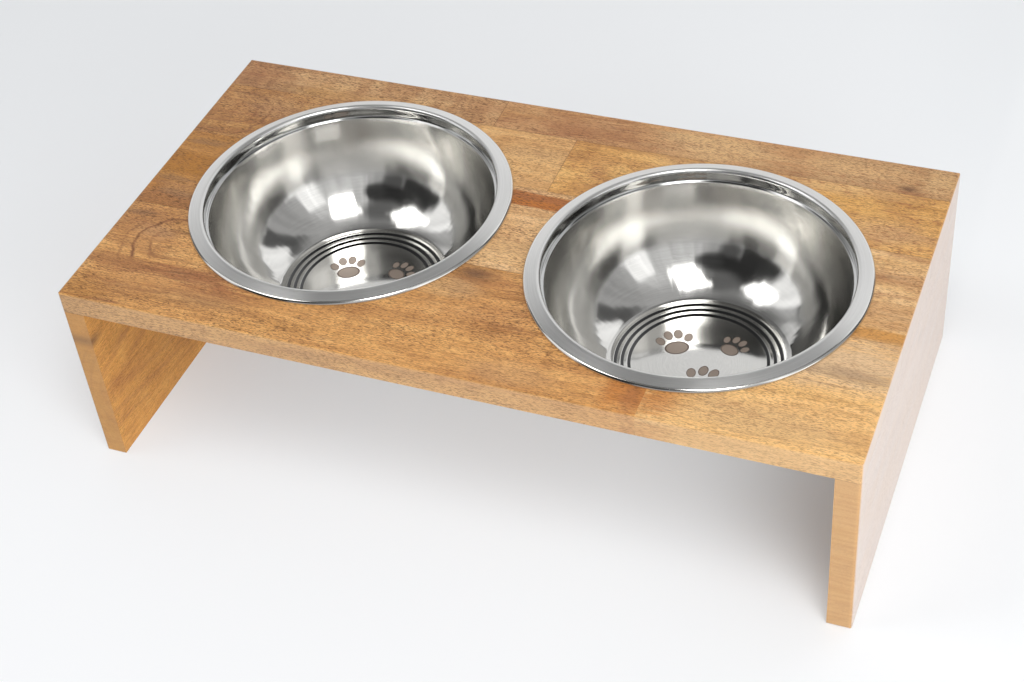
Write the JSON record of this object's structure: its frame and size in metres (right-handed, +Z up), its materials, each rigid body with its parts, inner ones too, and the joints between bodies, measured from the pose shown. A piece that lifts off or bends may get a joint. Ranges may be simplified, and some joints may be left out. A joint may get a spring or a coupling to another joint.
{
  "type": "dog feeder stand",
  "caption": "Low wooden feeding stand for a dog: a glued board top carried on side boards, with round holes in which stainless steel bowls hang by their rims and lift out.",
  "frame": {"origin": "on the floor, below the middle of the top", "axes": "+X along the length to the right, +Y from the front to the back, +Z up"},
  "size_m": [0.6, 0.315, 0.1699],
  "materials": {
    "wood_pale": "satin oil",
    "wood_mid": "satin oil",
    "wood_dark": "satin oil",
    "dowel_wood": "bare",
    "steel": "polished inside, brushed rim"
  },
  "bodies": {
    "stand": {"back_stave_left": "wood_mid", "back_stave_right": "wood_dark", "rear_stave_left": "wood_mid", "rear_stave_middle": "wood_pale", "rear_stave_right": "wood_mid", "middle_stave_left": "wood_dark", "middle_stave_bridge": "wood_pale", "middle_stave_right": "wood_dark", "front_stave_left": "wood_mid", "front_stave_right": "wood_pale", "left_leg": "wood_mid", "right_leg": "wood_mid", "left_leg_dowels": "dowel_wood", "right_leg_dowels": "dowel_wood"},
    "bowl_left": {"left_bowl": "steel"},
    "bowl_right": {"right_bowl": "steel"}
  },
  "joints": [
    {"name": "left_bowl_lift", "type": "slide", "parent": "stand", "child": "bowl_left", "axis": [0, 0, 1], "range_m": [0, 0.1]},
    {"name": "right_bowl_lift", "type": "slide", "parent": "stand", "child": "bowl_right", "axis": [0, 0, 1], "range_m": [0, 0.1]}
  ]
}
